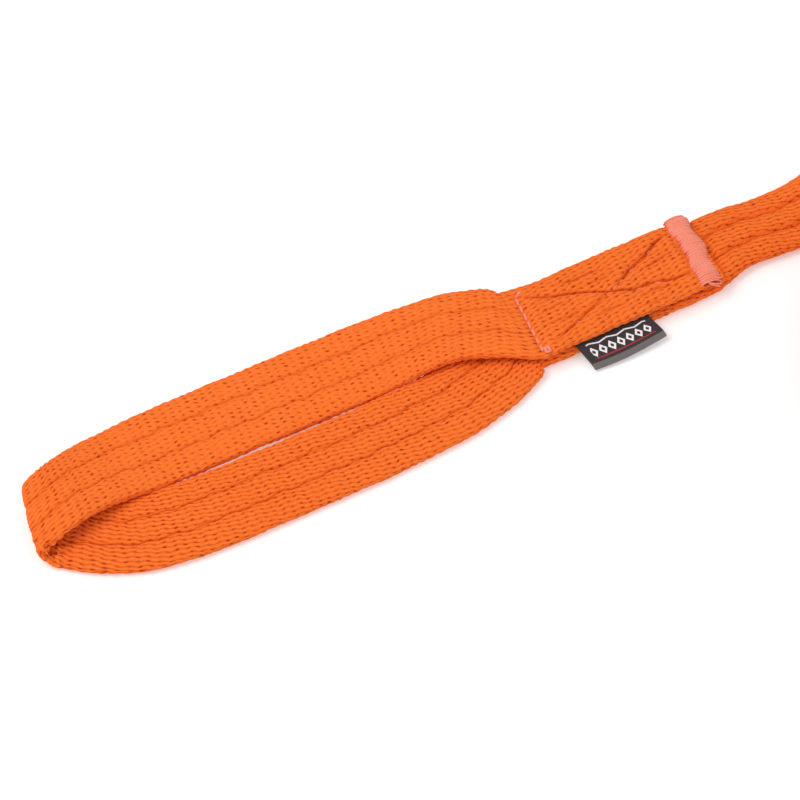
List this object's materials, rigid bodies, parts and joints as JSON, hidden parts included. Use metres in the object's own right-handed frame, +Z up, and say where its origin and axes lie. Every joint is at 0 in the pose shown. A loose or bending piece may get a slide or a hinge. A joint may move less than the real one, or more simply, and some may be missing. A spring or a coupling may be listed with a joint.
{
  "type": "hand loop lanyard line",
  "caption": "Soft ribbed webbing line with a sewn hand loop at one end and a swivel bolt snap at the other, its spare length coiled.",
  "frame": {"origin": "bottom centre of the sewn hand loop with its overlap, label and bar tack; the free line and the snap are not counted", "axes": "+X from the loop's tip towards the free line, +Z up from the surface it lies on, +Y to the upper leg's side"},
  "size_m": [0.4905, 0.2597, 0.034],
  "materials": {
    "webbing": "soft tubular knit, bright orange",
    "thread": "salmon pink sewing thread",
    "label": "black woven tape",
    "snap_metal": "nickel plated casting",
    "bolt_metal": "plated steel",
    "spring_steel": "spring wire"
  },
  "bodies": {
    "root": {"loop_upper_leg": "webbing", "loop_tip": "webbing", "loop_lower_leg": "webbing", "overlap_top_layer": "webbing", "overlap_bottom_layer": "webbing", "root_stitches": "thread", "cross_stitches": "thread", "handle_bar_tack": "thread", "side_label": "label", "line_run": "webbing", "line_coil": "webbing", "line_tail": "webbing", "snap_end_webbing": "webbing", "snap_end_stitches": "thread", "snap_end_bar_tack": "thread", "swivel_eye": "snap_metal"},
    "snap": {"snap_body": "snap_metal", "bolt_spring": "spring_steel"},
    "bolt": {"bolt": "bolt_metal", "thumb_stud": "bolt_metal"}
  },
  "joints": [
    {"name": "swivel_spin", "type": "hinge", "parent": "root", "child": "snap", "pos_m": [0.24708, -0.13619, 0.017], "axis": [-1, 0, 0], "continuous": true},
    {"name": "bolt_slide", "type": "slide", "parent": "snap", "child": "bolt", "axis": [1, 0, 0], "range_m": [0, 0.011], "stiffness_N_per_m": 300, "springref_m": -0.008, "deforming": ["bolt_spring"]}
  ]
}
